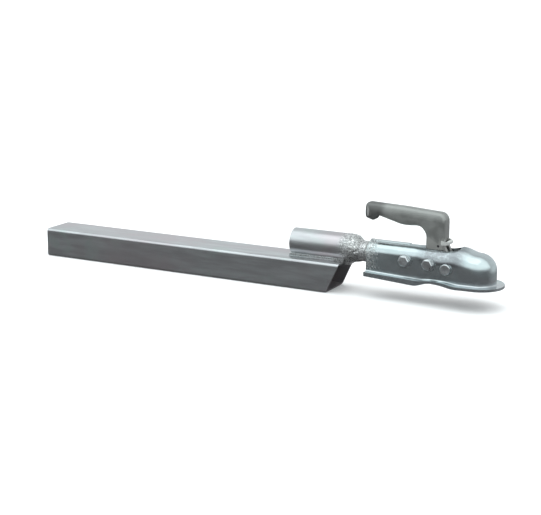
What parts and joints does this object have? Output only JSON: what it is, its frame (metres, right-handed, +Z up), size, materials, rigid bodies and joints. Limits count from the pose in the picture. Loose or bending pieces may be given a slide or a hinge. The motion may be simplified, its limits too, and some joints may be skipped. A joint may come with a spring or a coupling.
{
  "type": "drawbar",
  "caption": "Box-section drawbar with a stub and neck tube welded on top, carrying a pressed ball coupling head with a lift handle, ball jaw and thumb catch.",
  "frame": {"origin": "centre of the ball socket in the coupling head", "axes": "+X along the beam towards the nose of the coupling head, +Y to the left looking forwards, +Z up"},
  "size_m": [1.011, 0.0991, 0.1803],
  "materials": {
    "galvanised_steel": "hot-dip galvanised, soft satin with faint runs and streaks",
    "galvanised_weld": "galvanised weld, rippled and speckled",
    "zinc_plated_sheet": "zinc plated pressed sheet, satin",
    "dark_steel": "plain steel, dull and lightly greased",
    "forged_steel": "forged steel, dull",
    "grey_casting": "fine sand cast, matt warm grey",
    "bright_zinc": "bright zinc plated",
    "bush_bronze": "sintered bronze, oily",
    "spring_steel": "oil-tempered spring wire",
    "pale_zinc_tab": "bright zinc plated pressing, worn by the thumb"
  },
  "bodies": {
    "drawbar": {"box_tube": "galvanised_steel", "stub_tube": "galvanised_steel", "neck_tube": "galvanised_steel", "stub_weld_near": "galvanised_weld", "stub_weld_far": "galvanised_weld", "stub_weld_rear": "galvanised_weld", "stub_weld_front": "galvanised_weld", "neck_weld": "galvanised_weld", "head_weld": "galvanised_weld", "coupling_shell": "zinc_plated_sheet", "ball_seat": "dark_steel", "cheek_plate_near": "dark_steel", "cheek_plate_far": "dark_steel", "spring_abutment": "dark_steel", "spring_guide": "dark_steel", "clamp_bolt_1": "bright_zinc", "clamp_bolt_2": "bright_zinc", "clamp_nut_1": "bright_zinc", "clamp_nut_2": "bright_zinc", "bolt_washer_near_1": "bright_zinc", "bolt_washer_near_2": "bright_zinc", "bolt_washer_far_1": "bright_zinc", "bolt_washer_far_2": "bright_zinc", "pivot_pin": "bright_zinc", "pivot_circlip": "bright_zinc", "pivot_spacer_near": "bright_zinc", "pivot_spacer_far": "bright_zinc", "jaw_pin": "bright_zinc", "handle_spring": "spring_steel"},
    "handle": {"handle": "grey_casting", "handle_bush": "bush_bronze", "catch_pin": "dark_steel", "catch_spring": "spring_steel"},
    "jaw": {"ball_jaw": "forged_steel"},
    "catch": {"safety_catch": "pale_zinc_tab"}
  },
  "joints": [
    {"name": "handle_lift", "type": "hinge", "parent": "drawbar", "child": "handle", "pos_m": [-0.054, 0, 0.002], "axis": [0, 1, 0], "range_deg": [0, 30], "stiffness_Nm_per_rad": 3, "springref_deg": -20.05, "deforming": ["handle_spring"]},
    {"name": "jaw_swing", "type": "hinge", "parent": "drawbar", "child": "jaw", "pos_m": [-0.034, 0, 0.02], "axis": [0, 1, 0], "range_deg": [0, 15]},
    {"name": "catch_tip", "type": "hinge", "parent": "handle", "child": "catch", "pos_m": [-0.0765, 0, 0.0398], "axis": [0, -1, 0], "range_deg": [0, 12], "stiffness_Nm_per_rad": 0.2, "springref_deg": -11.46, "deforming": ["catch_spring"]}
  ],
  "couplings": [
    {"joint": "jaw_swing", "follows": "handle_lift", "ratio": 0.5}
  ]
}
